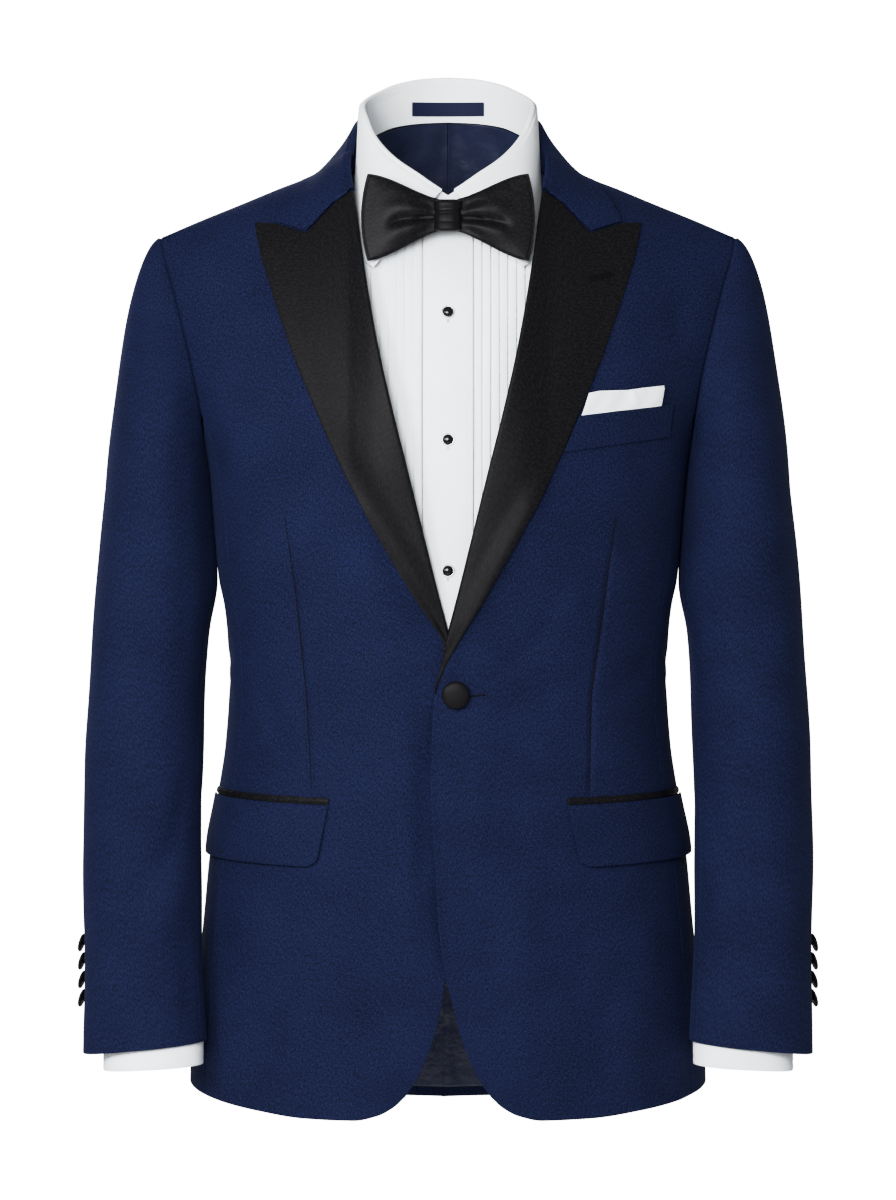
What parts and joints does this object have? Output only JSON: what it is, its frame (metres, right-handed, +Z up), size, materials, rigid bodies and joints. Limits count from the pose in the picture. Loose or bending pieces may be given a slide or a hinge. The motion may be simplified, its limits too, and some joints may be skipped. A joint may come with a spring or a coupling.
{
  "type": "tuxedo",
  "caption": "Hollow worn-form tuxedo set: single-breasted jacket with satin peak lapels, pleated dress shirt front, bow tie, pocket square.",
  "frame": {"origin": "between the shoulders, level with the side of the neck, where the wearer holds the garment up", "axes": "+Z up, the front faces -Y, +X toward the wearer's left sleeve"},
  "size_m": [0.5876, 0.2623, 0.8295],
  "materials": {
    "navy_wool": "matt fine worsted wool",
    "black_satin": "soft black satin",
    "navy_lining": "smooth navy lining satin",
    "white_poplin": "pressed white cotton",
    "navy_label": "plain woven label, left bare",
    "black_stud": "glossy black"
  },
  "bodies": {
    "root": {"back_left": "navy_wool", "back_lining_left": "navy_lining", "back_lining_right": "navy_lining", "back_right": "navy_wool", "bib_left": "white_poplin", "bib_right": "white_poplin", "bow_back_left": "black_satin", "bow_back_right": "black_satin", "bow_band": "black_satin", "bow_knot": "black_satin", "bow_wing_left": "black_satin", "bow_wing_right": "black_satin", "breast_welt": "navy_wool", "collar": "navy_wool", "collar_stand": "navy_wool", "flap_left": "navy_wool", "flap_right": "navy_wool", "front_button": "black_satin", "front_left": "navy_wool", "front_right": "navy_wool", "jetting_left": "black_satin", "jetting_right": "black_satin", "lapel_left": "black_satin", "lapel_right": "black_satin", "neck_label": "navy_label", "pocket_square": "white_poplin", "shirt_cuff_left": "white_poplin", "shirt_cuff_right": "white_poplin", "shirt_leaf": "white_poplin", "shirt_placket": "white_poplin", "shirt_stand": "white_poplin", "side_panel_left": "navy_wool", "side_panel_right": "navy_wool", "sleeve_button_left_1": "black_satin", "sleeve_button_left_2": "black_satin", "sleeve_button_left_3": "black_satin", "sleeve_button_left_4": "black_satin", "sleeve_button_right_1": "black_satin", "sleeve_button_right_2": "black_satin", "sleeve_button_right_3": "black_satin", "sleeve_button_right_4": "black_satin", "stud_1": "black_stud", "stud_2": "black_stud", "stud_3": "black_stud", "top_sleeve_left": "navy_wool", "top_sleeve_right": "navy_wool", "under_sleeve_left": "navy_wool", "under_sleeve_right": "navy_wool"}
  },
  "joints": []
}
